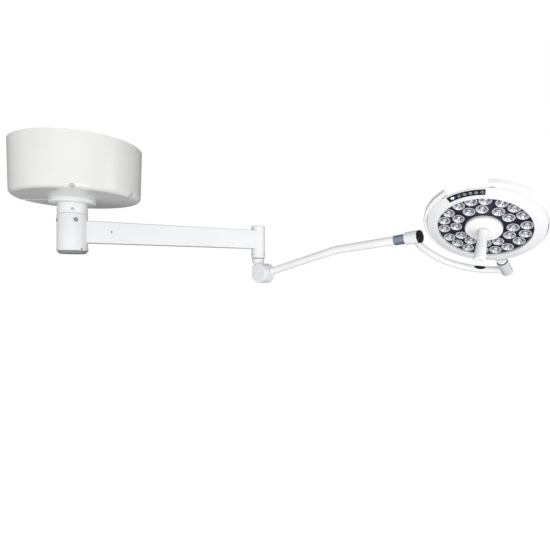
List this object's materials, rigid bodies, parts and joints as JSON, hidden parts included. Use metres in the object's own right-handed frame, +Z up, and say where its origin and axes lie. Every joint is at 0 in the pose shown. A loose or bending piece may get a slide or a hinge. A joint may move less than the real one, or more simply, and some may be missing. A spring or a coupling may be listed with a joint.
{
  "type": "surgical light",
  "caption": "Ceiling-mounted surgical light: canopy, level swivel arm, jointed spring arm, quarter-ring yoke and round LED head with grab rails and a sterile handle.",
  "frame": {"origin": "centre of the ceiling plate, on its top face against the ceiling", "axes": "+Z up to the ceiling, +X along the main arm, +Y to its left seen from the pole"},
  "size_m": [1.5435, 1.3339, 0.5215],
  "materials": {
    "white_enamel": "satin",
    "white_plastic": "satin",
    "steel": "brushed",
    "aluminium": "satin",
    "blue_grey_metal": "satin",
    "black_plastic": "satin",
    "panel_plastic": "polished",
    "strip_plastic": "polished",
    "lens_clear": "clear, polished",
    "bronze": "satin",
    "circuit_board": "satin",
    "cable_sheath": "matt",
    "seal_rubber": "matt"
  },
  "bodies": {
    "ceiling_mount": {"ceiling_plate": "steel", "down_tube": "white_enamel", "tube_bolts": "steel", "canopy_front_half": "white_enamel", "canopy_rear_half": "white_enamel", "canopy_screws": "steel", "canopy_collar": "white_enamel", "power_supply": "aluminium", "main_spindle": "steel", "spindle_nut": "steel"},
    "main_arm": {"arm_sleeve": "white_enamel", "sleeve_cap": "white_plastic", "main_bearings": "steel", "brake_screws": "steel", "arm_box": "white_enamel", "arm_wiring": "cable_sheath", "swivel_housing": "white_enamel", "swivel_bearings": "steel"},
    "swivel_post": {"swivel_shaft": "steel", "swivel_shaft_nut": "steel", "thrust_washer": "black_plastic", "swivel_post": "white_enamel", "post_cover": "white_plastic", "knuckle_pin": "steel", "knuckle_nut_and_springs": "steel"},
    "spring_arm": {"arm_boss": "white_enamel", "arm_boss_cover": "white_plastic", "knuckle_bush": "bronze", "spring_arm_tube": "white_enamel", "wrist_sleeve": "blue_grey_metal", "roll_shaft": "steel", "roll_nut": "steel"},
    "yoke": {"roll_hub": "white_enamel", "hub_cap": "black_plastic", "roll_bushes": "bronze", "yoke_tube": "white_enamel", "yoke_plug": "black_plastic", "pivot_housing": "white_enamel", "tilt_bushes": "black_plastic"},
    "lamp_head": {"head_shell": "white_plastic", "service_cover": "white_plastic", "service_screws": "steel", "head_bezel": "white_plastic", "control_strip": "strip_plastic", "lens_panel": "panel_plastic", "led_lenses": "lens_clear", "circuit_boards": "circuit_board", "heat_sink": "aluminium", "right_grip": "white_plastic", "left_grip": "white_plastic", "tilt_stub": "aluminium", "tilt_nut": "steel", "centre_hub": "white_plastic", "handle_stem": "aluminium"},
    "handle": {"sterile_handle": "white_plastic"},
    "power_button": {"power_button": "strip_plastic"},
    "dimmer_down_button": {"dimmer_down_button": "strip_plastic"},
    "dimmer_up_button": {"dimmer_up_button": "strip_plastic"},
    "colour_button": {"colour_button": "strip_plastic"},
    "depth_button": {"depth_button": "strip_plastic"}
  },
  "joints": [
    {"name": "main_swivel", "type": "hinge", "parent": "ceiling_mount", "child": "main_arm", "pos_m": [0, 0, -0.324], "axis": [0, 0, 1], "range_deg": [-170, 170]},
    {"name": "arm_swivel", "type": "hinge", "parent": "main_arm", "child": "swivel_post", "pos_m": [0.78, 0, -0.33], "axis": [0, 0, 1], "range_deg": [-69, 211]},
    {"name": "spring_arm_lift", "type": "hinge", "parent": "swivel_post", "child": "spring_arm", "pos_m": [0.78944, -0.02742, -0.4765], "axis": [-0.9455, -0.3256, 0], "range_deg": [-62.5, 6.5]},
    {"name": "yoke_roll", "type": "hinge", "parent": "spring_arm", "child": "yoke", "pos_m": [1.04438, -0.71159, -0.36042], "axis": [0.3245, -0.9423, 0.0819], "range_deg": [-75.5, 94.5]},
    {"name": "head_tilt", "type": "hinge", "parent": "yoke", "child": "lamp_head", "pos_m": [1.28925, -0.89053, -0.459], "axis": [0.7952, 0.2249, -0.5631], "range_deg": [-135, 135]},
    {"name": "handle_lock", "type": "hinge", "parent": "lamp_head", "child": "handle", "pos_m": [1.09152, -0.95262, -0.3901], "axis": [0.5122, 0.2479, 0.8223], "range_deg": [0, 30]},
    {"name": "power_button_press", "type": "slide", "parent": "lamp_head", "child": "power_button", "axis": [0.7259, 0.2674, 0.6337], "range_m": [0, 0.0008], "stiffness_N_per_m": 700},
    {"name": "dimmer_down_button_press", "type": "slide", "parent": "lamp_head", "child": "dimmer_down_button", "axis": [0.7183, 0.2948, 0.6302], "range_m": [0, 0.0008], "stiffness_N_per_m": 700},
    {"name": "dimmer_up_button_press", "type": "slide", "parent": "lamp_head", "child": "dimmer_up_button", "axis": [0.7084, 0.3216, 0.6283], "range_m": [0, 0.0008], "stiffness_N_per_m": 700},
    {"name": "colour_button_press", "type": "slide", "parent": "lamp_head", "child": "colour_button", "axis": [0.6963, 0.3475, 0.628], "range_m": [0, 0.0008], "stiffness_N_per_m": 700},
    {"name": "depth_button_press", "type": "slide", "parent": "lamp_head", "child": "depth_button", "axis": [0.6821, 0.3723, 0.6293], "range_m": [0, 0.0008], "stiffness_N_per_m": 700}
  ]
}
